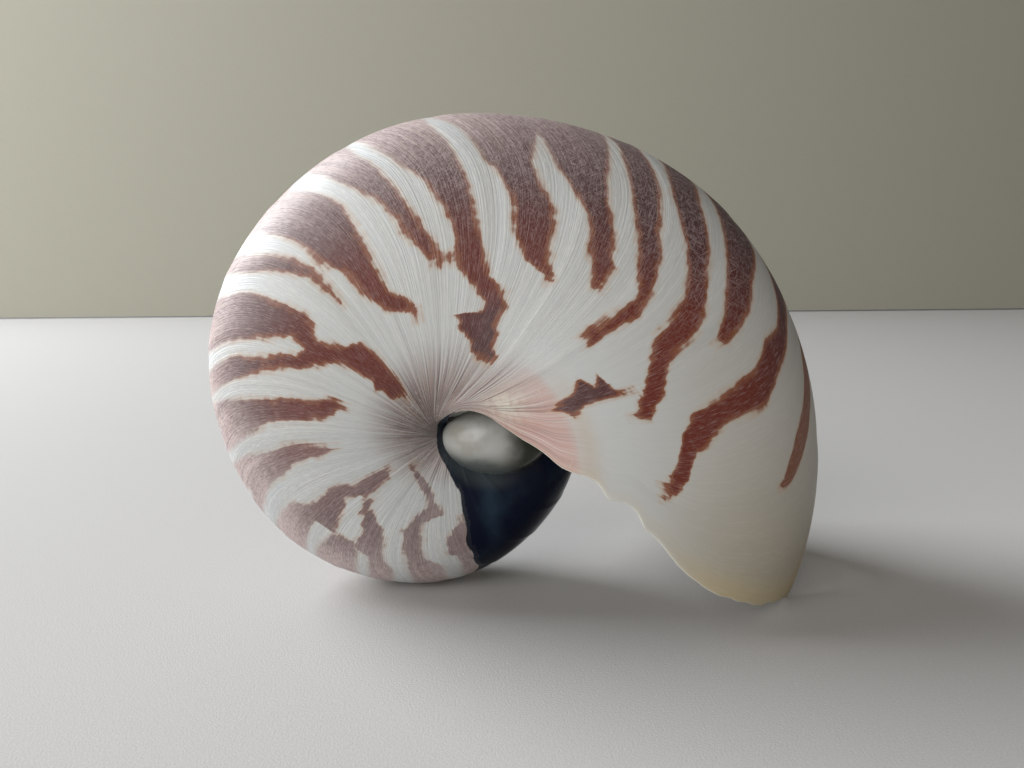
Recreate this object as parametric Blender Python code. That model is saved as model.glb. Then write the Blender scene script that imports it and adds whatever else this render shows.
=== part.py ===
"""Nautilus shell: one coiled shell with an open body chamber, standing on its coil and its lip.

The shell is coiled flat about an axis along Y, the same on both sides of the plane y = 0. A place on
it is given by two numbers. Growth is the angle along the coil, 0 at the lip and negative towards the
older whorls. Side runs across the whorl, 0 on the outer rim (the venter), CREST where the whorl is
widest, and 1 at the umbilicus on the coil's axis; it is negative on the far side.

Units are metres, +Z is up, and the origin is on the floor under the middle of the shell.
"""
import math

import bmesh
import bpy
import numpy as np

# Driving dimensions: metres, degrees and plain ratios
LIP_RADIUS = 0.0941          # axis to venter at the lip
GROWTH_RATE = 0.1659         # the radius grows e-fold in 1 / GROWTH_RATE radians
LONG_SWELL = 0.0066          # slight unevenness of growth, as parts of the radius
SHORT_SWELL = 0.0043
LIP_ANGLE = -27.76           # the lip's place round the axis, from +X towards +Z
HALF_WIDTH = 0.355           # widest half breadth of the whorl, as a part of its radius
CREST_HEIGHT = 0.385         # how far out the whorl is widest, as a part of its radius
ROUNDNESS = 2.2              # superellipse power of the whorl's outer half
UMBILICUS_DEPTH = 0.0075     # half thickness of the shell on its axis
UMBILICUS_SLOPE = 1.4        # cosine power of the slope down into the umbilicus
CREST = 0.6                  # side value of the widest line

WALL = 0.0016                # thickness of the body chamber's wall
LIP_WALL = 0.0010            # thickness at the lip
THINNING = 0.25              # share of the chamber's length over which the wall thins
CHAMBER = 200.0              # length of the open body chamber, back from the lip
SEPTUM_DISH = 14.0           # how far the wall that closes the chamber is dished back
SEAM_AT_SEPTUM = 0.80        # side value where wall and inner whorl meet, deep in the chamber

# The lip, as (side, growth): recess for the funnel, lobe, recess for the eye, corner, umbilicus
LIP_LINE = [
    (0.00, -6.2), (0.04, -6.0), (0.08, -4.9), (0.15, -1.6), (0.20, 0.1), (0.26, 1.2), (0.34, 2.2),
    (0.42, 2.4), (0.49, 0.7), (0.54, -3.6), (0.59, -10.5), (0.65, -17.0), (0.69, -19.0), (0.73, -28.5),
    (0.775, -46.0), (0.82, -80.0), (0.87, -104.0), (1.00, -120.0),
]

# The two rounded pads that fill the umbilicus inside the lip, as seen from the shell's own axis
CALLUS_CENTRE = (0.0112, 0.0086, -0.0034)
CALLUS_RADII = (0.0120, 0.0083, 0.0083)

SIDE_STEPS = 15              # columns from the venter to the umbilicus
TURN_STEPS = 42              # rows round the outside of the shell
CHAMBER_STEPS = 22           # rows along the chamber
SEPTUM_STEPS = 4
MERGE_DISTANCE = 0.00001


def smooth_line(points, x):
    """Cubic curve through the points, with slopes taken from each point's neighbours."""
    knots = np.array(points)
    slopes = np.gradient(knots[:, 1], knots[:, 0])
    after = np.clip(np.searchsorted(knots[:, 0], x), 1, len(knots) - 1)
    x0, y0 = knots[after - 1].T
    x1, y1 = knots[after].T
    span = x1 - x0
    t = (x - x0) / span
    start = (1 + 2 * t) * (1 - t) ** 2 * y0 + t * (1 - t) ** 2 * span * slopes[after - 1]
    end = t * t * (3 - 2 * t) * y1 - t * t * (1 - t) * span * slopes[after]
    return start + end


def venter_radius(growth):
    """Distance from the axis to the venter: a logarithmic spiral with two faint swells."""
    swell = LONG_SWELL * np.sin(3.0 * growth - 2.31) + SHORT_SWELL * np.sin(6.2 * growth + 2.64)
    return LIP_RADIUS * np.exp(GROWTH_RATE * growth) * (1.0 + swell)


def half_section(growth, side, wall, end):
    """Distance from the axis and half breadth on a whorl, from the venter to where it ends.

    Outside the crest the whorl is a superellipse. Inside, it falls in a smooth slope to the
    point end, which is (distance, half breadth). The wall is the depth under the outer surface.
    """
    radius = venter_radius(growth)
    crest_distance = CREST_HEIGHT * radius
    crest_breadth = HALF_WIDTH * radius - wall
    outer = np.clip(side / CREST, 0, 1) * math.pi / 2
    inner = np.clip((side - CREST) / (1 - CREST), 0, 1) * math.pi / 2
    reach = (radius - wall - crest_distance) * np.clip(np.cos(outer), 0, 1) ** (2 / ROUNDNESS)
    rise = np.clip(np.cos(inner), 0, 1) ** UMBILICUS_SLOPE
    distance = np.where(
        side <= CREST,
        crest_distance + reach,
        end[0] + (crest_distance - end[0]) * (1 - np.sin(inner)),
    )
    breadth = np.where(
        side <= CREST,
        crest_breadth * np.sin(outer) ** (2 / ROUNDNESS),
        end[1] + (crest_breadth - end[1]) * rise,
    )
    return distance, breadth


def place(growth, distance, breadth):
    """Turns distances from the axis and half breadths into points of the near side."""
    angle = math.radians(LIP_ANGLE) - growth
    return np.stack([distance * np.cos(angle), -breadth, distance * np.sin(angle)], axis=-1)


def near_side_rows():
    """Rows of points, each from the venter to the umbilicus, in one loop round the shell's wall.

    The loop goes from the lip back round the outside, on along the inner whorl that floors the
    chamber, up the septum that closes it, and forward along the inside of the wall to the lip.
    """
    side = np.linspace(0, 1, SIDE_STEPS + 1)
    lip = np.radians(smooth_line(LIP_LINE, side))
    back = -math.radians(CHAMBER)
    turn = 2 * math.pi
    pole = (0.0, UMBILICUS_DEPTH)

    rows = []
    for step in range(TURN_STEPS):
        growth = lip - turn * step / TURN_STEPS
        rows.append(place(growth, *half_section(growth, side, 0.0, pole)))

    # The chamber's floor and roof meet along a seam that leaves the umbilicus as it goes back
    seams = []
    for step in range(CHAMBER_STEPS + 1):
        share = step / CHAMBER_STEPS
        growth = lip + (back - lip) * share
        seam_side = 1 - (1 - SEAM_AT_SEPTUM) * share
        distance, breadth = half_section(growth - turn, side * seam_side, 0.0, pole)
        rows.append(place(growth, distance, breadth))
        seams.append((distance[-1], breadth[-1]))

    floor = half_section(np.full_like(side, back - turn), side * SEAM_AT_SEPTUM, 0.0, pole)
    roof = half_section(np.full_like(side, back), side, WALL, seams[-1])
    for step in range(1, SEPTUM_STEPS):
        share = step / SEPTUM_STEPS
        dish = math.radians(SEPTUM_DISH) * math.sin(math.pi * share) * np.cos(side * math.pi / 2)
        distance = floor[0] + (roof[0] - floor[0]) * share
        breadth = floor[1] + (roof[1] - floor[1]) * share
        rows.append(place(back - dish, distance, breadth))

    for step in range(CHAMBER_STEPS, -1, -1):
        share = step / CHAMBER_STEPS
        growth = lip + (back - lip) * share
        wall = LIP_WALL + (WALL - LIP_WALL) * min(share / THINNING, 1)
        rows.append(place(growth, *half_section(growth, side, wall, seams[step])))
    return np.array(rows)


def shell_mesh(points):
    """One closed mesh from the near side's rows and their mirror image."""
    both = np.concatenate([points[:, :0:-1] * (1, -1, 1), points], axis=1)
    row_count, column_count = both.shape[:2]
    mesh = bpy.data.meshes.new("nautilus_shell")
    faces = []
    for row in range(row_count):
        here = row * column_count
        there = (row + 1) % row_count * column_count
        for column in range(column_count - 1):
            faces.append((here + column, here + column + 1, there + column + 1, there + column))
    mesh.from_pydata(both.reshape(-1, 3).tolist(), [], faces)

    cage = bmesh.new()
    cage.from_mesh(mesh)
    bmesh.ops.remove_doubles(cage, verts=cage.verts, dist=MERGE_DISTANCE)
    bmesh.ops.dissolve_degenerate(cage, edges=cage.edges, dist=MERGE_DISTANCE)
    bmesh.ops.recalc_face_normals(cage, faces=cage.faces)
    cage.to_mesh(mesh)
    cage.free()
    mesh.shade_smooth()
    return mesh


def shell_material():
    """Cream porcelain-like shell, a little worn."""
    material = bpy.data.materials.new("striped_shell")
    material.use_nodes = True
    shader = material.node_tree.nodes["Principled BSDF"]
    shader.inputs["Base Color"].default_value = (0.62, 0.52, 0.44, 1)
    shader.inputs["Roughness"].default_value = 0.45
    shader.inputs["Metallic"].default_value = 0.0
    return material


def add_callus(name, facing, axis_place, collection):
    """One rounded pad in the umbilicus: facing is -1 on the near side and 1 on the far side."""
    bpy.ops.mesh.primitive_uv_sphere_add(segments=20, ring_count=10, radius=1)
    pad = bpy.context.object
    pad.name = name
    pad.scale = CALLUS_RADII
    pad.location = (
        axis_place[0] + CALLUS_CENTRE[0],
        axis_place[1] + facing * CALLUS_CENTRE[1],
        axis_place[2] + CALLUS_CENTRE[2],
    )
    pad.hide_render = True
    pad.display_type = "WIRE"
    for owner in pad.users_collection:
        owner.objects.unlink(pad)
    collection.objects.link(pad)
    return pad


def main():
    for item in list(bpy.data.objects):
        bpy.data.objects.remove(item)
    parts = bpy.data.collections.new("nautilus_shell")
    cutters = bpy.data.collections.new("cutters")
    bpy.context.scene.collection.children.link(parts)
    bpy.context.scene.collection.children.link(cutters)

    # The axis stands so that the shell's lowest points touch the floor and its middle is at x = 0
    rows = near_side_rows()
    low = rows.min(axis=(0, 1))
    high = rows.max(axis=(0, 1))
    axis_place = np.array([-(low[0] + high[0]) / 2, 0.0, -low[2]])
    shell = bpy.data.objects.new("nautilus_shell", shell_mesh(rows + axis_place))
    shell.data.materials.append(shell_material())
    parts.objects.link(shell)

    for name, facing in (("near_callus", -1), ("far_callus", 1)):
        joined = shell.modifiers.new(name, "BOOLEAN")
        joined.operation = "UNION"
        joined.solver = "EXACT"
        joined.object = add_callus(name, facing, axis_place, cutters)


main()
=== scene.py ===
# %% [markdown]
# # A nautilus shell
#
# A nautilus builds its shell as one long cone, coiled flat, and adds to it only at the lip. So the
# whole shape comes from one section that grows as it turns. We make it as a surface of two numbers:
# growth, the angle along the coil (0 at the lip, negative towards older shell), and side, which runs
# across the whorl from 0 on the outer rim to 1 on the coil's axis. Near side values are positive and
# far side values negative. Colour, stripes and relief all read the same two numbers, as they do on
# the real shell, where the lip laid everything down line by line.

# %% Load the frame
import math

import bmesh
import bpy
import numpy as np
from mathutils import Matrix, Vector


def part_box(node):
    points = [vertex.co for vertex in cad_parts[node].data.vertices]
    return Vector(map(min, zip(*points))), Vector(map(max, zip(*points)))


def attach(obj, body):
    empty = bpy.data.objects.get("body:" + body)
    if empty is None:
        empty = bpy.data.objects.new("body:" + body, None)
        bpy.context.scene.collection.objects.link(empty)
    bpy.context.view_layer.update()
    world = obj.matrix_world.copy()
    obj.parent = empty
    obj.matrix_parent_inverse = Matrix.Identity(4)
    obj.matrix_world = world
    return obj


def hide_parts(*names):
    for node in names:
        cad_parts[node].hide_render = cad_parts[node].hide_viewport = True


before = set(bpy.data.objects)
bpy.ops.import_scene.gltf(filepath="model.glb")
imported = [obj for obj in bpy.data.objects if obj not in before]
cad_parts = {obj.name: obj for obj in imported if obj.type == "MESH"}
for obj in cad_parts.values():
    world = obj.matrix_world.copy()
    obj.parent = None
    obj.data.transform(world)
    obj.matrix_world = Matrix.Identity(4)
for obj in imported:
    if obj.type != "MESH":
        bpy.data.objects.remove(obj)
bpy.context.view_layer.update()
NODE = "nautilus_shell"
low, high = (np.array(corner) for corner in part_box(NODE))

# %% [markdown]
# ## The spiral
#
# The distance from the axis to the rim grows by the same factor in every turn, which is a logarithmic
# spiral. Real growth is never quite even, so two faint swells ride on it. The sizes repeat those of
# the solid model, and the axis is found from the solid's box: the rim's leftmost reach gives its
# place along X, and the highest point of the coil its height.

# %% The growth spiral
LIP_RADIUS = 0.0941
GROWTH_RATE = 0.1659
LONG_SWELL = 0.0066
SHORT_SWELL = 0.0043
LIP_ANGLE = math.radians(-27.76)
TURN = 2 * math.pi


def venter_radius(growth):
    """Axis to rim: lip radius times e to the (growth rate times growth), times one plus two sines."""
    swell = LONG_SWELL * np.sin(3.0 * growth - 2.31) + SHORT_SWELL * np.sin(6.2 * growth + 2.64)
    return LIP_RADIUS * np.exp(GROWTH_RATE * growth) * (1.0 + swell)


one_turn = np.linspace(-TURN, 0, 3601)
rim_x = venter_radius(one_turn) * np.cos(LIP_ANGLE - one_turn)
rim_z = venter_radius(one_turn) * np.sin(LIP_ANGLE - one_turn)
AXIS = np.array([low[0] - rim_x.min(), 0.0, high[2] - rim_z.max()])
print("axis of the coil", AXIS, "whorl expansion", math.exp(GROWTH_RATE * TURN))

# %% [markdown]
# ## The whorl's section
#
# Cut through the axis, a whorl is broad and rounded outside and falls into the umbilicus inside. The
# outer part is a superellipse, which holds its width better than an ellipse. The inner part is a
# slope whose depth follows a power of a cosine, so it leaves the widest line level and ends in the
# steep little funnel that every growth line runs into.

# %% The section of a whorl
HALF_WIDTH = 0.355
CREST_HEIGHT = 0.385
ROUNDNESS = 2.2
UMBILICUS_DEPTH = 0.0075
UMBILICUS_SLOPE = 1.4
CREST = 0.6
POLE = (0.0, UMBILICUS_DEPTH)


def half_section(growth, across, wall, end):
    """Distance from the axis and half breadth, for across from 0 on the rim to 1 at the end point.

    To the crest: crest plus reach times cos(t)^(2/n) out, and breadth times sin(t)^(2/n) sideways.
    Past it: distance falls as 1 - sin(t) and breadth as cos(t)^slope, both towards the end point.
    """
    radius = venter_radius(growth)
    crest_distance = CREST_HEIGHT * radius
    crest_breadth = HALF_WIDTH * radius - wall
    outer = np.clip(across / CREST, 0, 1) * math.pi / 2
    inner = np.clip((across - CREST) / (1 - CREST), 0, 1) * math.pi / 2
    reach = (radius - wall - crest_distance) * np.clip(np.cos(outer), 0, 1) ** (2 / ROUNDNESS)
    rise = np.clip(np.cos(inner), 0, 1) ** UMBILICUS_SLOPE
    inside = across > CREST
    distance = np.where(
        inside,
        end[0] + (crest_distance - end[0]) * (1 - np.sin(inner)),
        crest_distance + reach,
    )
    breadth = np.where(
        inside,
        end[1] + (crest_breadth - end[1]) * rise,
        crest_breadth * np.sin(outer) ** (2 / ROUNDNESS),
    )
    return distance, breadth


def place(growth, side, distance, breadth):
    """Polar to world: the point at that angle and distance round the axis, out by its half breadth."""
    angle = LIP_ANGLE - growth
    return np.stack(
        [
            AXIS[0] + distance * np.cos(angle),
            AXIS[1] - breadth * np.sign(side),
            AXIS[2] + distance * np.sin(angle),
        ],
        axis=-1,
    )


print("widest half breadth at the lip", HALF_WIDTH * LIP_RADIUS)

# %% [markdown]
# ## The lip
#
# The lip isn't straight across. It draws back over the rim where the animal's funnel works, comes
# forward in a lobe on each side, draws back again beside the eye, and then sweeps far back to the
# umbilicus. A thin lip also chips, so the near side gets its own broken edge, point by point, and the
# far side a quieter one. Each smooth line is a few points with a cubic between them. The chips are
# only at the edge: behind it they fade out within a few degrees, so the surface stays even. Columns
# are crowded towards side 0.6, where the chips are smallest.

# %% The line of the lip
LIP_LINE = [
    (0.00, -6.2), (0.04, -6.0), (0.08, -4.9), (0.15, -1.6), (0.20, 0.1), (0.26, 1.2), (0.34, 2.2),
    (0.42, 2.4), (0.49, 0.7), (0.54, -3.6), (0.59, -10.5), (0.65, -17.0), (0.69, -19.0), (0.73, -28.5),
    (0.775, -46.0), (0.82, -80.0), (0.87, -104.0), (1.00, -120.0),
]
NEAR_EDGE = [
    (0.00, -6.2), (0.02, -6.1), (0.04, -5.9), (0.08, -4.9), (0.15, -1.7), (0.19, 0.1),
    (0.205, -0.3), (0.22, 0.3), (0.245, 0.5), (0.262, 1.0), (0.28, 0.8), (0.30, 1.6),
    (0.32, 1.9), (0.345, 1.8), (0.37, 2.2), (0.39, 2.0),
    (0.41, 2.4), (0.445, 2.1), (0.462, 1.5), (0.477, 1.2), (0.50, 0.0), (0.518, -1.5),
    (0.537, -3.5), (0.554, -5.0), (0.562, -5.2), (0.570, -7.8), (0.579, -9.8), (0.591, -11.0),
    (0.607, -10.8), (0.616, -11.2), (0.627, -14.8), (0.636, -16.2), (0.65, -17.2), (0.666, -17.2),
    (0.688, -18.8), (0.716, -25.8), (0.746, -32.5), (0.761, -38.2), (0.775, -45.5), (0.786, -55.0),
    (0.82, -80.0), (0.87, -104.0), (1.00, -120.0),
]
FAR_CHIPS = [
    (0.00, 0.0), (0.12, 0.0), (0.18, -0.4), (0.24, 0.1), (0.30, -0.3), (0.36, 0.2), (0.45, -0.3),
    (0.52, 0.4), (0.58, -0.4), (0.64, 0.5), (0.70, -0.3), (0.78, 0.0), (1.00, 0.0),
]
CHIP_FADE = math.radians(5.0)


def smooth_line(points, x):
    """Cubic Hermite curve through the points; each slope is the mean rate across its neighbours."""
    knots = np.array(points)
    slopes = np.gradient(knots[:, 1], knots[:, 0])
    after = np.clip(np.searchsorted(knots[:, 0], x), 1, len(knots) - 1)
    x0, y0, x1, y1 = knots[after - 1, 0], knots[after - 1, 1], knots[after, 0], knots[after, 1]
    span = x1 - x0
    t = (x - x0) / span
    start = (1 + 2 * t) * (1 - t) ** 2 * y0 + t * (1 - t) ** 2 * span * slopes[after - 1]
    end = t * t * (3 - 2 * t) * y1 - t * t * (1 - t) * span * slopes[after]
    return start + end


SIDE_STEPS = 106
LIP_TRIM = 0.25          # degrees taken off the lip, so that it stays inside the solid's box
CROWDED_SIDE = 0.60
CROWDED_WIDTH = 0.07
fine_side = np.linspace(0, 1, 2001)
crowding = np.cumsum(1 + 1.1 * np.exp(-(((fine_side - CROWDED_SIDE) / CROWDED_WIDTH) ** 2)))
crowding = (crowding - crowding[0]) / (crowding[-1] - crowding[0])
half_side = np.interp(np.linspace(0, 1, SIDE_STEPS + 1), crowding, fine_side)
side = np.concatenate([-half_side[:0:-1], half_side])
across = np.abs(side)
smooth_lip = smooth_line(LIP_LINE, across)
near_chips = np.interp(across, *np.array(NEAR_EDGE).T) - smooth_lip
far_chips = np.interp(across, *np.array(FAR_CHIPS).T)
lip = np.radians(smooth_lip)
trim = LIP_TRIM * np.clip((0.8 - across) * 5, 0, 1)
chips = np.radians(np.where(side >= 0, near_chips, far_chips) - trim)
print("lip runs from", np.degrees(lip.min()), "to", np.degrees(lip.max()), "degrees of growth")

# %% [markdown]
# ## One closed sheet
#
# The shell's wall is one sheet that turns back on itself. We walk round it in rows: from the lip back
# round the outside, on along the older whorl that floors the body chamber, up the dished septum that
# closes it, forward along the inside of the wall, and over the rounded lip to the start. Each row is
# a whole array from the far umbilicus to the near one. Rows end on the axis outside and on the seam
# between floor and wall inside, where the two share their points.

# %% The rows of the sheet
WALL = 0.0015
LIP_WALL = 0.0007
THINNING = 0.30
CHAMBER = math.radians(200.0)
SEPTUM_DISH = math.radians(14.0)
SEAM_AT_SEPTUM = 0.80
OUTSIDE_ROWS = 320
CHAMBER_ROWS = 44
SEPTUM_ROWS = 8
LIP_ROWS = 5
OUTSIDE, FLOOR, SEPTUM, ROOF, RIM = range(5)

points, row_growth, row_across, row_part = [], [], [], []


def add_row(part, growth, row_sides, sections):
    """Keeps one row's points with the growth and side values that its colours will read."""
    points.append(place(growth, side, *sections))
    row_growth.append(np.broadcast_to(growth, side.shape))
    row_across.append(row_sides)
    row_part.append(part)


for row in range(OUTSIDE_ROWS):
    back = TURN * row / OUTSIDE_ROWS
    growth = lip - back + chips * math.exp(-back / CHIP_FADE)
    add_row(OUTSIDE, growth, across, half_section(growth, across, 0.0, POLE))

seams = []
for row in range(CHAMBER_ROWS + 1):
    share = row / CHAMBER_ROWS
    growth = lip + (-CHAMBER - lip) * share - TURN
    reach = across * (1 - (1 - SEAM_AT_SEPTUM) * share)
    section = half_section(growth, reach, 0.0, POLE)
    add_row(FLOOR, growth, reach, section)
    seams.append((section[0][-1], section[1][-1]))

floor = half_section(np.full_like(side, -CHAMBER - TURN), across * SEAM_AT_SEPTUM, 0.0, POLE)
roof = half_section(np.full_like(side, -CHAMBER), across, WALL, seams[-1])
for row in range(1, SEPTUM_ROWS):
    share = row / SEPTUM_ROWS
    dish = SEPTUM_DISH * math.sin(math.pi * share) * np.cos(side * math.pi / 2)
    section = [floor[axis] + (roof[axis] - floor[axis]) * share for axis in (0, 1)]
    add_row(SEPTUM, -CHAMBER - dish, across, section)

for row in range(CHAMBER_ROWS, -1, -1):
    share = row / CHAMBER_ROWS
    back = (CHAMBER + lip) * share
    growth = lip - back + chips * np.exp(-back / CHIP_FADE)
    wall = LIP_WALL + (WALL - LIP_WALL) * min(share / THINNING, 1) ** 0.5
    section = half_section(growth, across, wall, seams[row])
    add_row(ROOF, growth, across, section)

inner_edge, outer_edge = points[-1], points[0]
ahead = LIP_WALL / 2 / LIP_RADIUS
for row in range(1, LIP_ROWS):
    turn = math.pi * row / LIP_ROWS
    middle = (inner_edge + outer_edge) / 2
    half = (outer_edge - inner_edge) / 2
    thickness = np.linalg.norm(half, axis=-1, keepdims=True)
    growth = lip + chips
    forward = place(growth + ahead, side, *half_section(growth + ahead, across, 0.0, POLE))
    way = forward - outer_edge
    way = way / np.maximum(np.linalg.norm(way, axis=-1, keepdims=True), 1e-9)
    points.append(middle - half * math.cos(turn) + way * thickness * math.sin(turn))
    row_growth.append(growth)
    row_across.append(across)
    row_part.append(RIM)

sheet_points = np.array(points)
sheet_growth = np.array(row_growth)
sheet_across = np.array(row_across)
sheet_part = np.array(row_part)
print("sheet of", sheet_points.shape[0], "rows and", sheet_points.shape[1], "columns")

# %% [markdown]
# ## Growth lines
#
# Each growth line is an old lip, so it has the lip's sweep: nearly level with the axis on the flank,
# leaning back over the rim, and trailing far behind into the umbilicus. Taking that sweep away from
# the growth angle gives a number that is the same all along one growth line. The stripes, the fine
# lines and the relief use it, so they all lean together. Close behind the lip the lines run along
# the present lip, so there the sweep turns into the lip's own line. On the rim both halves meet in a
# curve and not a corner, because side is swapped for a rounded side: the root of its square plus a
# small square.

# %% The sweep of a growth line
SWEEP = [
    (0.0, -21.0), (0.1, -16.5), (0.2, -11.5), (0.3, -6.5), (0.4, -3.0), (0.5, -0.5), (0.6, 0.0),
    (0.66, -0.5), (0.70, -1.8), (0.75, -5.5), (0.80, -13.0), (0.84, -26.0), (0.88, -50.0),
    (0.92, -80.0), (1.0, -120.0),
]
ROUNDING = 0.07
LIP_REACH = 32.0          # degrees behind the lip over which the lines still follow it
round_across = np.hypot(sheet_across, ROUNDING)
lip_degrees = np.degrees(lip + chips)[None, :]
behind_lip = np.degrees((lip + chips)[None, :] - sheet_growth)
by_lip = np.clip(1 - behind_lip / LIP_REACH, 0, 1) ** 1.5
old_sweep = smooth_line(SWEEP, np.minimum(round_across, 1))
sheet_line = np.degrees(sheet_growth) - (old_sweep * (1 - by_lip) + lip_degrees * by_lip)


def layered_noise(x, seed, octaves):
    """Sum of sines at rising pitch with fixed odd phases: an even, repeatable roughness near -1 to 1."""
    total = np.zeros_like(x)
    for octave in range(octaves):
        pitch = 1.0 + octave * 0.83
        total += np.sin(x * pitch + seed * (octave + 1) * 2.399) / (1 + 0.6 * octave)
    return total / octaves ** 0.5


RIB_HEIGHT = 0.00010
RIB_PITCH = 0.42
row_back = np.arange(len(sheet_part))[:, None] / OUTSIDE_ROWS
calm = np.clip((0.95 - sheet_across) * 6, 0, 1) * np.clip(row_back * 30, 0, 1)
calm = calm * np.clip((1 - row_back) * 30, 0, 1) * (sheet_part == OUTSIDE)[:, None]
rib = (layered_noise(sheet_line * RIB_PITCH, 1.7, 5) - 1.5) * RIB_HEIGHT * calm
outward = sheet_points - AXIS
outward[..., 1] *= 1.6
outward /= np.maximum(np.linalg.norm(outward, axis=-1, keepdims=True), 1e-9)
sheet_points = sheet_points + outward * rib[..., None]
print("ribs between", rib.min() * 1000, "and", rib.max() * 1000, "mm")

# %% [markdown]
# ## The stripes
#
# The stripes start on the rim and lean forward down each flank, where they break up and trail along
# the direction of growth. Each stripe is a short list of (side, back edge, front edge), straight from
# one entry to the next. Side is in hundredths, and the edges in degrees of growth back from the lip.
# For every point we ask how far it lies inside each stripe, in millimetres, and keep the best answer.
# The material turns that distance into an edge, a halo and a heart, so the edge can be far sharper
# than the mesh.

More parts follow.
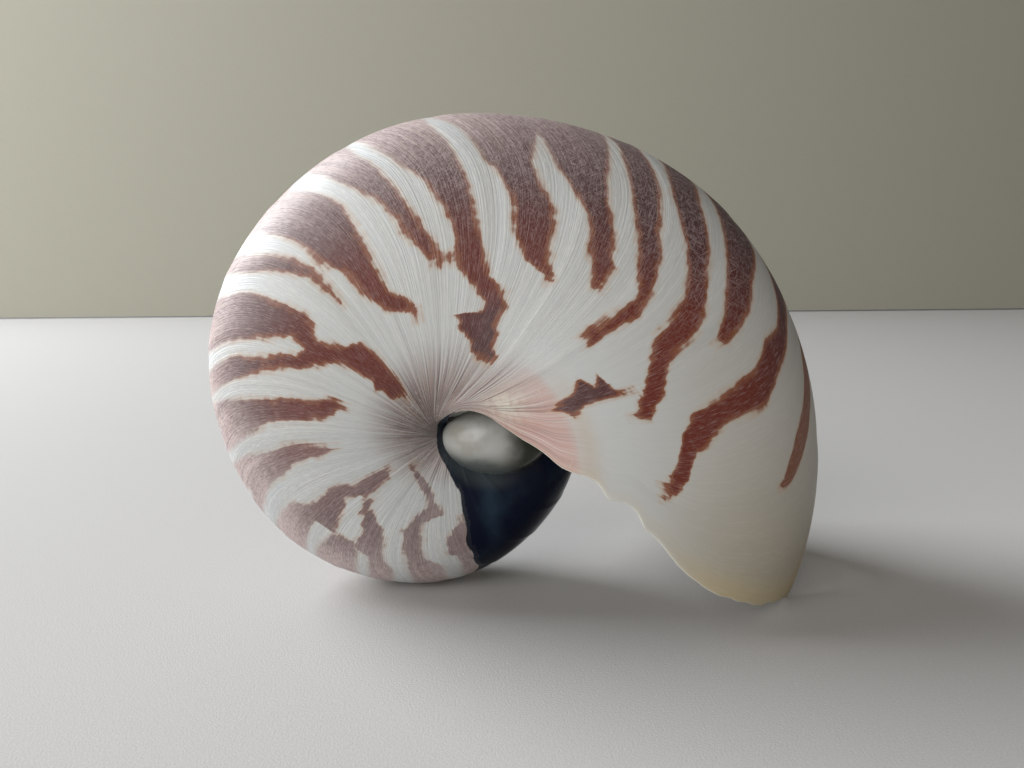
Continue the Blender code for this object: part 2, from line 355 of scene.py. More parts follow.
# %% The near side's stripes
STRIPES = [
    [(0, 50, 45), (10, 44, 39), (17, 38.5, 33), (22, 33, 28), (28, 27.5, 21.8), (32, 21.5, 18.6),
     (33.5, 19, 18.5)],
    [(0, 66, 56), (10, 56.5, 49.5), (15, 52.3, 46.8), (20, 48.5, 44.4), (25, 45.2, 40.8),
     (30, 44.7, 38), (35, 40.8, 33.3), (40, 39.2, 32.6), (45, 37, 31.5), (48, 35.7, 27.3),
     (50, 34.3, 25.8), (51.5, 29.6, 19.3), (53, 23, 15.6), (54.3, 19, 14)],
    [(0, 77, 67), (10, 70, 60.5), (15, 67.3, 57.2), (20, 64.9, 55.6), (25, 62, 54), (30, 58.6, 50.6),
     (35, 54, 48.2), (38, 51, 46.8), (40.5, 48, 47)],
    [(0, 83, 76.5), (10, 78.6, 72), (20, 75.9, 69.5), (25, 73.7, 66.4), (30, 69.8, 62.7),
     (35, 64.9, 59.5), (40, 60.5, 53.9), (45, 57.5, 50.6), (50, 54.6, 48.3), (52, 51, 42),
     (54, 46, 38.9), (55.3, 42, 34.7), (57, 38.5, 37)],
    [(0, 92, 86), (10, 88, 82.7), (15, 86, 81), (20, 84.7, 78.8), (25, 82.7, 76.3), (30, 80.3, 74.2),
     (35, 77.4, 71.9), (40, 73.7, 67.8), (45, 68.8, 64.2), (47, 66.2, 62.7), (50, 66.2, 61.4),
     (55, 67.5, 62.9), (57.3, 68, 62.1)],
    [(0, 104, 94), (10, 101.5, 88.9), (20, 99.8, 87.1), (25, 97.7, 86.3), (30, 95, 85.1), (35, 90, 83),
     (40, 84.7, 78.5), (44, 82, 76.4), (45.2, 81, 74), (48, 78.1, 73.1), (50, 75.5, 72.4)],
    [(0, 124, 104), (5, 121.5, 102.5), (10, 119.3, 101), (15, 116.7, 99.8), (20, 113.8, 100.2),
     (25, 111.6, 100.3), (30, 109.3, 99.7), (35, 105.2, 97), (40, 101.7, 92.4), (45, 100.3, 89.5),
     (48, 97.5, 88.7), (50, 95.3, 88), (51.2, 91.7, 85), (52.2, 87.5, 84.2)],
    [(0, 136.5, 124), (5, 135, 122.2), (10, 134, 121.1), (15, 132.3, 120.2), (20, 130.7, 118.6),
     (25, 128.1, 116.4), (30, 125.3, 114.7), (35, 121.1, 112.7), (40, 118.6, 110.5), (45, 115.4, 108.7),
     (47, 113.8, 107.5), (50, 113.6, 105.2), (52, 113.4, 104), (54, 110.9, 102.7), (55.3, 108.7, 99),
     (57, 105.5, 96.5), (58.5, 101.5, 93.8), (59.7, 97, 94.5)],
    [(50.5, 121, 113.5), (51.5, 120, 113.5)],
    [(0, 147, 139.5), (5, 145.7, 137.8), (10, 145, 136.5), (15, 143.9, 135.4), (20, 141.5, 134.3),
     (25, 139.5, 131.8), (30, 136.5, 129.9), (35, 133.2, 127.7), (40, 129.9, 125.3), (45, 128.1, 122.6),
     (46.5, 127, 120.4), (49, 124.4, 119.2), (51.2, 121.5, 119.1)],
    [(0, 166, 152.5), (5, 164, 150.3), (10, 162.5, 149.5), (15, 160.5, 148.6), (20, 158.9, 146.4),
     (25, 156.7, 143.9), (30, 154.5, 141.3), (35, 152.5, 139.6), (40, 151.6, 139.1), (43, 149.7, 138.3),
     (45, 147.5, 137.8), (50, 146.6, 137.3), (53, 145, 136.2), (55, 142, 133.6), (57, 139.1, 130),
     (58, 135.5, 127), (58.8, 131, 128)],
    [(0, 176, 171), (5, 174, 170), (10, 172.4, 168.4), (15, 170.7, 166.5), (20, 168.9, 164.7),
     (25, 166.9, 162.1), (30, 164, 158.9), (35, 160.8, 156.3), (40, 157.1, 154), (45, 154.9, 152.7),
     (48, 154.3, 152.5), (49.5, 153.8, 153)],
    [(0, 194, 181.5), (5, 192.5, 180), (10, 190.5, 178.3), (15, 188.7, 176.4), (20, 187.1, 175),
     (25, 184.3, 172), (30, 182.1, 169.8), (35, 179.4, 168.4), (40, 176.8, 166.3), (43, 174.6, 165),
     (45, 172.6, 164.3), (47.5, 173.1, 164.5), (49.2, 174, 166), (51, 176, 168)],
    [(0, 207, 199), (5, 204, 197), (10, 201.5, 195), (15, 199.5, 193.7), (20, 197.5, 191.5),
     (25, 195.1, 189.1), (30, 192.6, 186.3), (35, 190, 184.7), (40, 186.7, 182.1), (45, 184.1, 178.1),
     (48, 182.3, 175.7), (50, 180.5, 169), (52, 177.2, 166.5), (54, 175.3, 165.6), (56, 171.3, 162.5),
     (57.5, 169.5, 157), (60, 169, 154.6), (61.5, 168, 154), (64, 167, 154), (65, 170, 154),
     (66, 173, 154), (67, 168, 154), (68.5, 170, 154.5), (70, 171, 155), (71, 169, 157),
     (72.5, 163, 157)],
    [(0, 221, 207), (5, 218.5, 205), (10, 215.3, 202.6), (15, 214.5, 201.4), (20, 213, 200.3),
     (25, 211.2, 199.2), (30, 209, 197.9), (35, 206.6, 196.6), (40, 203.4, 195.3), (45, 201.4, 193.7),
     (50, 200.1, 191.3), (54, 198.4, 190.3), (56, 197.5, 187.5), (57.8, 194.4, 186), (59.2, 191, 187)],
    [(0, 230.5, 221), (10, 227, 218.7), (15, 225.8, 217.8), (20, 225.3, 216.7), (21, 231, 216.4),
     (25, 229.4, 215.2), (30, 226.1, 214), (35, 223.7, 213.4), (40, 221.5, 212.5), (43, 219.3, 211),
     (45, 217.8, 210.3), (50, 216.7, 210.4), (53, 216.3, 210.8), (55, 214.3, 211.8)],
    [(0, 238, 232), (10, 234.9, 229.7), (15, 233.9, 228.6), (20, 231.2, 226), (23, 230.2, 227)],
    [(0, 256, 244), (5, 254, 242), (10, 251.6, 240.2), (15, 250.1, 239.1), (20, 249, 237.4),
     (25, 247.1, 236), (30, 245.1, 233.8), (35, 242.9, 232.7), (38.5, 242, 232.7), (39, 250, 234.5),
     (41.5, 249.3, 235), (43, 247.7, 235), (45, 247, 235), (47, 245.5, 234.5), (49, 243.5, 233),
     (51, 241, 231.8), (53, 241.5, 232.8), (54.7, 244, 235.5), (55.2, 246.2, 236.5), (60, 246.2, 236),
     (63.5, 246, 236.2), (64.8, 242, 236.3)],
    [(0, 271, 257.5), (5, 270, 256), (10, 268.8, 254.5), (15, 267.8, 253.6), (20, 266.6, 252.7),
     (25, 265.2, 251.2), (30, 263.6, 250.4), (35, 261.8, 250), (37.5, 260.7, 250), (38.5, 258, 250.2)],
    [(0, 281, 273), (5, 280.3, 272.3), (10, 279.6, 271.6), (15, 279, 270.9), (20, 278.4, 270.7),
     (25, 278.1, 269.8), (30, 277.3, 268.4), (32, 275.3, 267.8), (34, 273.1, 267.2), (35.5, 272, 266.5),
     (36.5, 271.3, 261), (38, 270.6, 259.2), (40, 269.8, 258.6), (43, 268.7, 258.5), (45, 268, 258.3),
     (47, 266.5, 256.1), (49, 264.7, 253.6), (50, 261.4, 251.4), (52, 256, 251), (53.5, 253.9, 248),
     (54.8, 251, 245.5)],
    [(0, 300, 290), (10, 298.5, 288), (20, 297.3, 286.3), (25, 297, 284.9), (30, 296.2, 283),
     (33, 295.1, 281.9), (35, 293.7, 281.2), (36.5, 291.2, 280.8), (38, 288.5, 280.5), (40, 286.7, 279),
     (43, 285.8, 277.9), (45, 284.9, 277.2), (48, 284.6, 276), (49.3, 284.5, 273), (50.5, 284, 273.8),
     (52, 282.7, 276.1), (54, 284.1, 276.8), (55.2, 290, 277.6), (56, 294.4, 279.5),
     (57.2, 294.6, 281.2), (59, 291.8, 283.4), (61, 287.1, 281.8), (63, 285.2, 279), (64, 284, 274),
     (65.5, 281, 270.5), (67, 277, 266), (68.5, 270, 260), (70, 262, 250), (70.8, 256, 248)],
    [(0, 314, 305), (20, 309, 303.5), (30, 308.5, 303.2), (37, 308.5, 302.5), (39, 308.5, 297.5),
     (45, 308.5, 297.3), (47, 308.5, 298.5), (50, 308.5, 301.5), (52, 308, 305)],
    [(56.8, 45.5, 44), (58.5, 47, 44.2), (59.2, 54, 44.4), (60.2, 50.5, 44.6), (61.5, 56.5, 45),
     (63, 53, 44.8), (64, 51.5, 42), (65.2, 51, 41.3), (66.2, 49.5, 44.5), (67.5, 47.5, 46)],
    [(57.2, 102, 96), (58.5, 102, 94.6), (59.7, 103.5, 94.6), (60.1, 114, 94.8), (61.5, 110.5, 94.6),
     (62.5, 111.5, 93), (64, 107, 92), (65.5, 104, 92.3), (66.8, 103, 87), (68.2, 98, 88.5)],
]


def stripe_depth(growth_degrees, across_values):
    """How deep each point lies in its nearest stripe: the least way out, in millimetres, or below 0.

    Sideways it is the growth distance to the nearer edge, and lengthways the side distance to the
    stripe's tip, both turned into millimetres by the whorl's size there.
    """
    radius = venter_radius(np.radians(growth_degrees)) * 1000
    arm = radius * np.clip(1.05 - 0.85 * across_values, 0.12, 1.0)
    degree = arm * math.pi / 180
    length = radius * 1.25
    deepest = np.full(growth_degrees.shape, -6.0)
    for stripe in STRIPES:
        rows = np.array(stripe) * (0.01, -1, -1)
        back_edge = np.interp(across_values, rows[:, 0], rows[:, 1])
        front_edge = np.interp(across_values, rows[:, 0], rows[:, 2])
        sideways = np.minimum(growth_degrees - back_edge, front_edge - growth_degrees) * degree
        tip = (rows[-1, 0] - across_values) * length
        root = np.where(rows[0, 0] > 0, (across_values - rows[0, 0]) * length, 6.0)
        deepest = np.maximum(deepest, np.minimum(np.minimum(sideways, tip + 0.4), root + 0.4))
    return np.clip(deepest, -6.0, 6.0)


print(len(STRIPES), "stripes and blotches on the near side")

# %% [markdown]
# The far side carries the same stripes, since they cross the rim, but they end in other places and
# break up differently. We reuse the list and bend the two numbers a little before asking, by nothing
# on the rim and by more towards the umbilicus.

# %% Depth in the stripes over the whole sheet
degrees = np.degrees(sheet_growth)
is_far = (side < 0)[None, :]
bend_side = round_across * (1 + 0.10 * np.sin(degrees / 13.0) + 0.05 * np.sin(degrees / 4.1))
bend_growth = degrees + sheet_across * (5 * np.sin(degrees / 21.0 + 1) + 2.5 * np.sin(sheet_across * 23))
depth = stripe_depth(np.where(is_far, bend_growth, degrees), np.where(is_far, bend_side, round_across))
print("striped share of the outside", float((depth[:OUTSIDE_ROWS] > 0).mean()))

# %% [markdown]
# ## The black film
#
# Where the mantle folds back over the old coil, in front of the opening, it leaves a glossy black
# film. Its edge crosses the old whorl, then swings back into the umbilicus as a thin rim. As with the
# stripes, we keep a distance to that edge in millimetres, positive inside the film.

# %% Depth in the film
FILM_START = -308.0
FILM_END = -412.0
FILM_EDGE = [
    (-308, 0.620), (-304, 0.673), (-297, 0.730), (-284, 0.773), (-261, 0.838), (-240, 0.870),
    (-210, 0.888), (-170, 0.895), (-130, 0.885), (-110, 0.868), (-94, 0.843), (-60, 0.840), (0, 0.86),
]


def film_depth(growth_degrees, across_values):
    """The greater of two distances: how far behind the film's start, and how far inside its edge."""
    millimetres = venter_radius(np.radians(growth_degrees)) * 1000
    wave = 0.8 * np.sin(across_values * 19.0) + 0.5 * np.sin(across_values * 47.0 + 1.0)
    behind = (FILM_START + wave - growth_degrees) * millimetres * math.pi / 180 * 0.8
    edge_growth, edge_side = np.array(FILM_EDGE).T
    inside = (across_values - np.interp(growth_degrees, edge_growth, edge_side)) * millimetres * 1.1
    return np.clip(np.maximum(behind, inside), -8, 8)


film = film_depth(degrees, sheet_across)
film_fade = np.clip((degrees - FILM_END) / 14, 0, 1)
film = np.where(film > 0, film * film_fade, film)
print("film covers", float((film[:OUTSIDE_ROWS] > 0).mean()), "of the outside")

# %% [markdown]
# ## Slow changes of colour
#
# Some things change slowly over the shell: how chalky, red, stained or young it is. Each is a mask, a
# number from 0 to 1 for every point, worked out from growth, side and the degrees behind the lip. A
# mask is made of ramps, which rise smoothly from 0 at one value to 1 at another. The material mixes
# its colours by these masks.


# %% Masks for the stripes
def ramp(values, start, stop):
    """Smoothstep from 0 at start to 1 at stop, in either direction."""
    t = np.clip((values - start) / (stop - start), 0, 1)
    return t * t * (3 - 2 * t)


# Haze is the chalky bloom over the stripes of the rim and the old whorl.
rim_haze = 0.9 * ramp(sheet_across, 0.46, 0.05) * ramp(degrees, -60, -125)
old_haze = ramp(degrees, -184, -235) * (1 - 0.5 * ramp(degrees, -208, -250))
old_haze *= 1 - 0.45 * ramp(sheet_across, 0.25, 0.45) * ramp(degrees, -275, -250)
haze = np.clip(rim_haze + old_haze, 0, 1)

# Redness is where stripes are fresh and rust brown. Blotches by the umbilicus near the lip stay plum.
fresh = 0.8 * ramp(degrees, -74, -44) * ramp(sheet_across, 0.10, 0.34)
flank = 0.85 * ramp(sheet_across, 0.30, 0.52) * ramp(degrees, -255, -200)
redness = np.clip(fresh + flank, 0, 1)
redness *= 1 - 0.85 * ramp(sheet_across, 0.55, 0.60) * ramp(degrees, -125, -95)

# Faded is the first stripe behind the lip, broken is where edges have teeth, and scribble is where
# pale scratches show on the stripes.
faded = ramp(degrees + 53 - 75 * sheet_across, -1, 1) * (sheet_across < 0.36)
broken = ramp(sheet_across, 0.20, 0.48)
scribble = ramp(sheet_across, 0.56, 0.26) * ramp(degrees, -40, -62) * ramp(degrees, -165, -120)
print("stripe masks: haze", float(haze.mean()), "redness", float(redness.mean()))

# %% Masks for the ground between them
# Young is the shell near the lip, and rim, edge and amber are its newest, thin part. Edge and amber
# carry the lip's own olive and amber, lightened as painted glow of light shining through the thin lip.
not_floor = (sheet_part != FLOOR)[:, None]
young = ramp(behind_lip, 80, 36)
rim = ramp(behind_lip, 40, 3) * ramp(sheet_across, 0.60, 0.38) * not_floor
edge = ramp(behind_lip, 6, 0.5) * (0.25 + 0.75 * ramp(sheet_across, 0.54, 0.40)) * not_floor
amber_and_glow = ramp(sheet_across, 0.26, 0.08) * ramp(behind_lip, 13, 2) * not_floor

# Wash is the pink stain round the umbilicus, corner the browner one where the lip meets it, and
# stain_side a tan band beside that corner.
wash = ramp(sheet_across, 0.62, 0.77) * (0.8 + 0.2 * ramp(degrees, -215, -150))
corner = ramp(sheet_across, 0.650, 0.668) * ramp(degrees, -84, -48)
stain_side = 0.6 * np.exp(-(((sheet_across - 0.640) / 0.020) ** 2))
stain_side = stain_side * ramp(degrees, -75, -42) * ramp(degrees, -8, -16)
print("ground masks: young", float(young.mean()), "wash", float(wash.mean()))

# %% Marks near the callus
# These are placed by metres right of the axis and above it: a bare flaked patch, a pale streak down the
# film that is a painted reflection, and a grey bloom on the film round the callus.
from_axis = sheet_points[..., 0] - AXIS[0]
above_axis = sheet_points[..., 2] - AXIS[2]
bare = np.hypot((from_axis - 0.0121) / 0.0042, (above_axis - 0.0078) / 0.0036)
bare = np.exp(-bare ** 2) * (sheet_part == OUTSIDE)[:, None]
# Painted reflection: a pale bluish streak down the film below the callus, where the gloss mirrors the
# room.
streak_line = 0.0080 + 0.0030 * np.clip((-0.009 - above_axis) / 0.017, 0, 1)
drip = 0.38 * np.exp(-(((from_axis - streak_line) / 0.0019) ** 2))
drip = drip * ramp(above_axis, -0.007, -0.011) * ramp(above_axis, -0.034, -0.022)
from_callus = np.hypot((from_axis - 0.0115) / 0.0135, (above_axis + 0.0035) / 0.0105)
bloom = 0.4 * ramp(from_callus, 1.12, 0.84) * ramp(from_axis, 0.019, 0.010)
print("callus marks: bare", float(bare.max()), "drip", float(drip.max()), "bloom", float(bloom.max()))

# %% [markdown]
# ## Making the mesh
#
# The rows become quads, each joined to the next, and the last row to the first, since the sheet is
# closed that way round. Merging by distance then closes the umbilicus, where every row ends in one
# point, and the seam inside. The growth line and side values go into a UV map, which belongs to face
# corners and so survives the merge. The masks belong to points, which is enough for slow changes.


# %% Points to a Blender mesh
def grid_faces(row_count, column_count, closed_rows):
    """Quads between neighbouring rows and columns of a grid; the last row may join the first."""
    index = np.arange(row_count * column_count).reshape(row_count, column_count)
    after = np.roll(index, -1, axis=0) if closed_rows else index[1:]
    before = index if closed_rows else index[:-1]
    quads = [before[:, :-1], before[:, 1:], after[:, 1:], after[:, :-1]]
    return np.stack(quads, axis=-1).reshape(-1, 4)


def grid_object(name, grid, uv, masks, closed_rows, merge):
    """One object from a grid of points: quads, UV map, masks by name, merged doubles, smooth faces."""
    faces = grid_faces(*grid.shape[:2], closed_rows)
    mesh = bpy.data.meshes.new(name)
    mesh.vertices.add(grid.shape[0] * grid.shape[1])
    mesh.vertices.foreach_set("co", grid.astype(np.float32).ravel())
    mesh.loops.add(faces.size)
    mesh.loops.foreach_set("vertex_index", faces.astype(np.int32).ravel())
    mesh.polygons.add(len(faces))
    mesh.polygons.foreach_set("loop_start", np.arange(0, faces.size, 4, dtype=np.int32))
    mesh.update(calc_edges=True)
    layer = mesh.uv_layers.new(name="growth")
    layer.data.foreach_set("uv", uv.reshape(-1, 2)[faces.ravel()].astype(np.float32).ravel())
    for mask_name, values in masks.items():
        attribute = mesh.attributes.new(mask_name, "FLOAT", "POINT")
        attribute.data.foreach_set("value", values.astype(np.float32).ravel())
    work = bmesh.new()
    work.from_mesh(mesh)
    bmesh.ops.remove_doubles(work, verts=work.verts, dist=merge)
    bmesh.ops.dissolve_degenerate(work, edges=work.edges, dist=merge / 10)
    if work.calc_volume(signed=True) < 0:
        bmesh.ops.reverse_faces(work, faces=work.faces)
    open_edges = sum(len(e.link_faces) != 2 for e in work.edges)
    triangles = sum(len(f.verts) - 2 for f in work.faces)
    work.to_mesh(mesh)
    work.free()
    mesh.polygons.foreach_set("use_smooth", np.ones(len(mesh.polygons), bool))
    piece = bpy.data.objects.new(name, mesh)
    bpy.context.scene.collection.objects.link(piece)
    print(name, "has", triangles, "triangles and", open_edges, "open edges")
    return piece


# %% The shell
MERGE_DISTANCE = 0.000002
sheet_uv = np.stack([sheet_line / 100, np.broadcast_to(side, sheet_across.shape)], axis=-1)
inner = np.isin(sheet_part, (ROOF, SEPTUM))[:, None] * ramp(behind_lip, 0.8, 4.0)
inner = np.maximum(inner, (sheet_part == FLOOR)[:, None] * ramp(degrees, FILM_END + 14, FILM_END))
inner = np.maximum(inner, (sheet_part == SEPTUM)[:, None] * 1.0)
masks = {
    "stripe": depth, "film": film, "haze": haze, "redness": redness, "faded": faded, "broken": broken,
    "scribble": scribble, "young": young, "rim": rim, "edge": edge, "amber_and_glow": amber_and_glow, "wash": wash,
    "corner": corner, "stain_side": stain_side, "bare": bare, "drip": drip, "bloom": bloom,
    # Young shell's cream tint over its outer half near the lip, darker as painted shade.
    "young_tint_and_shade": young * ramp(sheet_across, 0.62, 0.42),
    "broken_edge": np.broadcast_to((sheet_part == RIM)[:, None], sheet_across.shape),
    "inner": inner,
}
shell = grid_object("striped_shell_wall", sheet_points, sheet_uv, masks, True, MERGE_DISTANCE)

# %% [markdown]
# ## The callus
#
# A white, porcelain-like callus plugs the umbilicus on both sides. It is a low dome with a slightly
# uneven swell, half sunk in the shell. A dome of its own gives it the crisp crease that the real one
# has against the wall, and its pole faces straight out, so its rings stay even where it shows.

# %% The callus domes
CALLUS_CENTRE = (0.0112, 0.0086, -0.0034)
CALLUS_RADII = (0.0120, 0.0083, 0.0083)


def callus(name, towards):
    """Ellipsoid on two angles, round the dome and down it, with two faint sine swells in its radius."""
    down = np.linspace(0, math.pi, 41)[:, None]
    around = np.linspace(0, TURN, 97)[None, :]
    swell = 1 + 0.03 * np.sin(2 * around + 0.7) * np.sin(down)
    swell = swell + 0.02 * np.sin(3 * around - 1) * np.sin(down) ** 2
    ring = np.sin(down) * swell
    grid = np.stack(
        [
            AXIS[0] + CALLUS_CENTRE[0] + CALLUS_RADII[0] * ring * np.cos(around),
            towards * (CALLUS_CENTRE[1] + CALLUS_RADII[1] * np.cos(down) * np.ones_like(around)),
            AXIS[2] + CALLUS_CENTRE[2] + CALLUS_RADII[2] * ring * np.sin(around),
        ],
        axis=-1,
    )
    uv = np.stack(np.broadcast_arrays(around / TURN, down / math.pi), axis=-1)
    return grid_object(name, grid, uv, {}, False, 0.00001)


callus_near = callus("umbilical_callus_near", -1)
callus_far = callus("umbilical_callus_far", 1)

# %% [markdown]
# ## Shader helpers
#
# Every finish here is a small tree of nodes. The first helpers add a node and give it its inputs; a
# socket knows its own tree, so most of them only need sockets and numbers. The last ones open a new
# node group with named sockets, so an effect can be built once and placed in several materials with
# its own values.


# %% Helpers for nodes
def is_socket(value):
    """Whether a value is a node's socket, rather than a number or a colour."""
    return isinstance(value, bpy.types.NodeSocket)


def set_inputs(made, **inputs):
    """Links sockets and sets values on a node; _0, _1 stand for inputs by number."""
    for name, value in inputs.items():
        target = made.inputs[int(name[1:])] if name[1:].isdigit() else made.inputs[name.replace("_", " ")]
        if is_socket(value):
            made.id_data.links.new(value, target)
        else:
            target.default_value = value


def node(tree, kind, **inputs):
    """Adds a node of a kind and sets its inputs."""
    made = tree.nodes.new(kind)
    set_inputs(made, **inputs)
    return made


def maths(operation, *values, clamp=False):
    """One Math node on numbers and sockets, in the tree of the first socket; returns its result."""
    made = next(filter(is_socket, values)).id_data.nodes.new("ShaderNodeMath")
    made.operation = operation
    made.use_clamp = clamp
    set_inputs(made, **{f"_{i}": value for i, value in enumerate(values)})
    return made.outputs[0]


def times(first, second, clamp=False):
    """The product of two."""
    return maths("MULTIPLY", first, second, clamp=clamp)


def scaled(value, by, plus, clamp=False):
    """A value times one number plus another."""
    return maths("MULTIPLY_ADD", value, by, plus, clamp=clamp)


def step(value, start, stop):
    """Smooth step of a socket from 0 at start to 1 at stop."""
    made = value.id_data.nodes.new("ShaderNodeMapRange")
    made.interpolation_type = "SMOOTHSTEP"
    ends = (1.0, 0.0) if stop < start else (0.0, 1.0)
    low_end, high_end = min(start, stop), max(start, stop)
    set_inputs(made, Value=value, From_Min=low_end, From_Max=high_end, To_Min=ends[0], To_Max=ends[1])
    return made.outputs["Result"]


def mix(factor, low_colour, high_colour):
    """Mixes two colours or colour sockets by a factor."""
    made = factor.id_data.nodes.new("ShaderNodeMix")
    made.data_type = "RGBA"
    set_inputs(made, _0=factor, _6=low_colour, _7=high_colour)
    return made.outputs[2]


def paint_over(colour, layers):
    """Lays (amount, tint) pairs over a colour, one after another, and returns the result."""
    for amount, tint in layers:
        colour = mix(amount, colour, tint)
    return colour


def noise(vector, scale, detail):
    """Even noise at a number of lumps to the metre."""
    return node(
        vector.id_data, "ShaderNodeTexNoise", Vector=vector, Scale=scale, Detail=detail
    ).outputs["Fac"]


def streaks(vector, across, along, detail):
    """Noise stretched so that it runs along growth lines: fine across them and long along them."""
    tree = vector.id_data
    mapping = node(tree, "ShaderNodeMapping", Vector=vector, Scale=(across, along, 1))
    made = node(tree, "ShaderNodeTexNoise", Vector=mapping.outputs[0], Scale=1.0, Detail=detail)
    made.noise_dimensions = "2D"
    made.inputs["Lacunarity"].default_value = 2.3
    return made.outputs["Fac"]


print("node helpers ready")


# %% Helpers for materials and groups
def growth_uv(tree):
    """The mesh's own UV map of growth line and side."""
    made = tree.nodes.new("ShaderNodeUVMap")
    made.uv_map = "growth"
    return made.outputs[0]


def own_place(tree):
    """Object coordinates, which are metres in the shell's own frame."""
    return tree.nodes.new("ShaderNodeTexCoord").outputs["Object"]


def mask(tree, name):
    """The value of one of the mesh's own masks."""
    made = tree.nodes.new("ShaderNodeAttribute")
    made.attribute_name = name
    return made.outputs["Fac"]


def group(name, inputs, outputs):
    """A new shader node group with named float, vector or colour sockets; returns tree, in and out."""
    tree = bpy.data.node_groups.new(name, "ShaderNodeTree")
    for socket_name, kind, default in inputs:
        socket = tree.interface.new_socket(socket_name, in_out="INPUT", socket_type="NodeSocket" + kind)
        if default is not None:
            socket.default_value = default
    for socket_name, kind in outputs:
        tree.interface.new_socket(socket_name, in_out="OUTPUT", socket_type="NodeSocket" + kind)
    return tree, tree.nodes.new("NodeGroupInput").outputs, tree.nodes.new("NodeGroupOutput").inputs


def place_group(tree, made, **inputs):
    """Places a node group in a tree with its own values."""
    holder = tree.nodes.new("ShaderNodeGroup")
    holder.node_tree = made
    set_inputs(holder, **inputs)
    return holder.outputs


def srgb(red, green, blue):
    """A colour given as on a screen, 0 to 255, turned into the linear values that shaders use."""
    shares = np.array([red, green, blue]) / 255
    linear = np.where(shares <= 0.04045, shares / 12.92, ((shares + 0.055) / 1.055) ** 2.4)
    return (*linear.tolist(), 1.0)


def new_material(name):
    """A material with an empty tree, its Principled BSDF and its output."""
    material = bpy.data.materials.new(name)
    material.use_nodes = True
    tree = material.node_tree
    return material, tree, tree.nodes["Principled BSDF"]


print("material helpers ready")

# %% [markdown]
# ## Growth lines as a group
#
# The lip paused and moved on thousands of times, and each pause left a line. Two scales of streaks
# stand for that: hair-fine ones everywhere, and broader ones that gather into wrinkles near the
# umbilicus. The group gives a height for the bump and the two streaks for colour.

# %% Growth line group
growth_lines, given, result = group(
    "Growth lines",
    [("Vector", "Vector", None), ("Wrinkle", "Float", 0.0)],
    [("Height", "Float"), ("Fine", "Float"), ("Broad", "Float")],
)
fine = streaks(given["Vector"], 240, 3.0, 3)
broad = streaks(given["Vector"], 42, 1.6, 3)
wrinkles = times(broad, scaled(given["Wrinkle"], 2.8, 0.45))
growth_lines.links.new(scaled(fine, 0.5, wrinkles), result["Height"])
growth_lines.links.new(fine, result["Fine"])
growth_lines.links.new(broad, result["Broad"])
print("group", growth_lines.name)

# %% [markdown]
# ## Rubbed scratches as a group
#
# A shell that has rolled on sand carries fine pale scratches that ignore the growth lines. Four
# sheets of stretched noise, each turned another way, are cut to thin threads, and the strongest wins.

# %% Scratch group
scratches, given, result = group(
    "Rubbed scratches", [("Vector", "Vector", None), ("Amount", "Float", 1.0)], [("Mask", "Float")]
)
THREAD_SIZE = (1 / 300, 1 / 1300, 1 / 4600)
threads = []
for turn, seed in ((0.45, 0.0), (1.20, 3.7), (2.05, 8.1), (2.75, 12.6)):
    turned = node(scratches, "ShaderNodeMapping", Vector=given["Vector"])
    turned.vector_type = "TEXTURE"
    set_inputs(turned, Location=(seed, seed, seed), Rotation=(0.2 * turn, turn, 0.4), Scale=THREAD_SIZE)
    threads.append(step(noise(turned.outputs[0], 1.0, 1.0), 0.57, 0.70))
strongest = [maths("MAXIMUM", *threads[:2]), maths("MAXIMUM", *threads[2:])]
scratches.links.new(times(maths("MAXIMUM", *strongest), given["Amount"]), result["Mask"])
print("group", scratches.name)

# %% [markdown]
# ## The striped wall
#
# The outer wall is white and slightly translucent, like unglazed porcelain. The stripes lie in its
# outermost layer. Their edge is sharp, broken into teeth by the growth lines, with a thin tan halo
# where the pigment runs out. Inside, the wall is mother-of-pearl, and the mask called inner fades one
# into the other behind the lip.

# %% Colours of the wall
GROUND = srgb(216, 218, 217)
GROUND_COOL = srgb(202, 206, 208)
GROUND_WARM = srgb(198, 190, 172)
# The young shell's own cream tint, darkened as painted shade over its outer half near the lip.
YOUNG_TINT_AND_SHADE = srgb(205, 202, 195)
# The lip's own olive and amber, lightened as painted glow of light through the thin lip.
RIM_OLIVE_AND_GLOW = srgb(226, 204, 152)
RIM_AMBER_AND_GLOW = srgb(228, 182, 108)
TAN = srgb(190, 162, 122)
BARE = srgb(226, 220, 204)
DARK_LINE = srgb(170, 163, 152)
PALE_LINE = srgb(238, 236, 230)
WASH_PINK = srgb(158, 122, 112)
WASH_BROWN = srgb(206, 142, 122)
WORN_AND_HIGHLIGHT = srgb(226, 218, 212)
CREASE = srgb(108, 90, 94)
EDGE_WHITE = srgb(236, 232, 218)
PLUM = srgb(84, 56, 57)
RUST = srgb(114, 42, 25)
RUST_EDGE = srgb(146, 90, 62)
FADED = srgb(128, 62, 22)
CHALK = srgb(208, 191, 189)
OLD_LINE = srgb(204, 180, 166)
HALO_TAN = srgb(204, 166, 128)
FILM_BLACK = srgb(5, 14, 36)
FILM_REFLECTION_BLUE = srgb(24, 40, 56)
FILM_REFLECTION_STREAK = srgb(62, 88, 108)
BLOOM_GREY = srgb(84, 90, 88)
PEARL = srgb(228, 222, 216)
PEARL_PINK = srgb(216, 202, 198)
PEARL_GREEN = srgb(198, 212, 206)
print("colours chosen")

# %% [markdown]
# Two materials show the black film: the wall paints its ragged edge, and the film's own material
# covers the rest. Its paint is a group, so both carry the same blue clouds and pale streak, which are
# painted reflections of the room on the gloss, and the same grey bloom.

